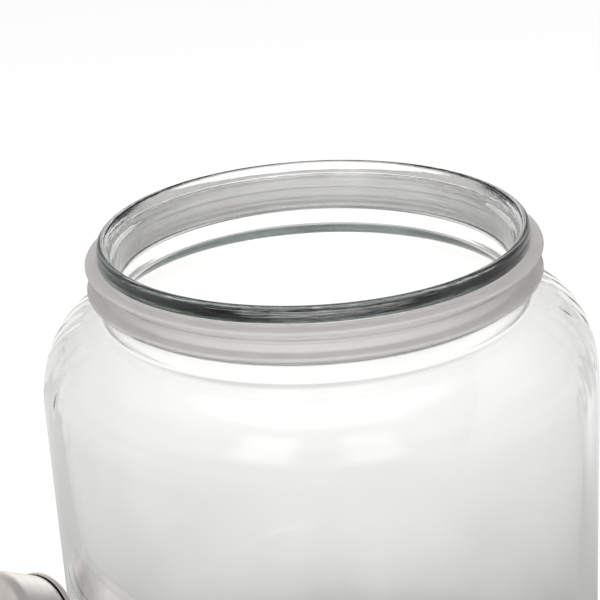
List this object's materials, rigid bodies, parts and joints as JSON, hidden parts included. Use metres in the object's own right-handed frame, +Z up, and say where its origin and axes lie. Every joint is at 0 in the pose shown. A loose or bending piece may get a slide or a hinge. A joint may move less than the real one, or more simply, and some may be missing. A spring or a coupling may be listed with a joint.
{
  "type": "detergent dispenser jar",
  "caption": "Wide-mouth clear glass dispenser jar with a double-lip silicone collar on its neck, a metal push-on lid leaning on its side, and a quarter-turn ball tap low on its front.",
  "frame": {"origin": "on the jar's axis, in the plane of the foot ring that it stands on", "axes": "+Z up along the jar's axis, -Y towards the tap, -X towards the lid that leans on the jar"},
  "size_m": [0.2332, 0.2244, 0.227],
  "materials": {
    "jar_glass": "clear glass with a faint warm grey tint, fire-polished, slightly uneven",
    "collar_silicone": "frosted translucent silicone, faintly warm",
    "lid_steel": "stainless steel, brushed round the skirt",
    "tap_steel": "stainless steel, satin",
    "lever_steel": "stainless steel, satin, edges polished by use",
    "washer_steel": "plain turned stainless steel",
    "ball_steel": "polished stainless steel",
    "gasket_silicone": "milky silicone",
    "seat_plastic": "white low-friction plastic",
    "o_ring_rubber": "black rubber",
    "nozzle_plastic": "off-white plastic"
  },
  "bodies": {
    "vessel": {"jar": "jar_glass", "neck_collar": "collar_silicone", "tail_fitting": "tap_steel", "outer_gasket": "gasket_silicone", "inner_gasket": "gasket_silicone", "backing_washer": "washer_steel", "tail_nut": "washer_steel", "valve_body": "tap_steel", "inlet_seat": "seat_plastic", "outlet_seat": "seat_plastic", "packing_washer": "seat_plastic", "packing_nut": "tap_steel", "spout_nozzle": "nozzle_plastic"},
    "valve": {"valve_ball": "ball_steel", "valve_stem": "ball_steel", "stem_o_ring_lower": "o_ring_rubber", "stem_o_ring_upper": "o_ring_rubber", "lever": "lever_steel", "spring_washer": "washer_steel", "cap_nut": "ball_steel"},
    "loose_lid": {"lid": "lid_steel"}
  },
  "joints": [
    {"name": "lever_turn", "type": "hinge", "parent": "vessel", "child": "valve", "pos_m": [0, -0.1092, 0.0567], "axis": [0, 0, -1], "range_deg": [0, 90]},
    {"name": "lid_lift", "type": "slide", "parent": "vessel", "child": "loose_lid", "axis": [0, 0, 1], "range_m": [0, 0.25]}
  ]
}
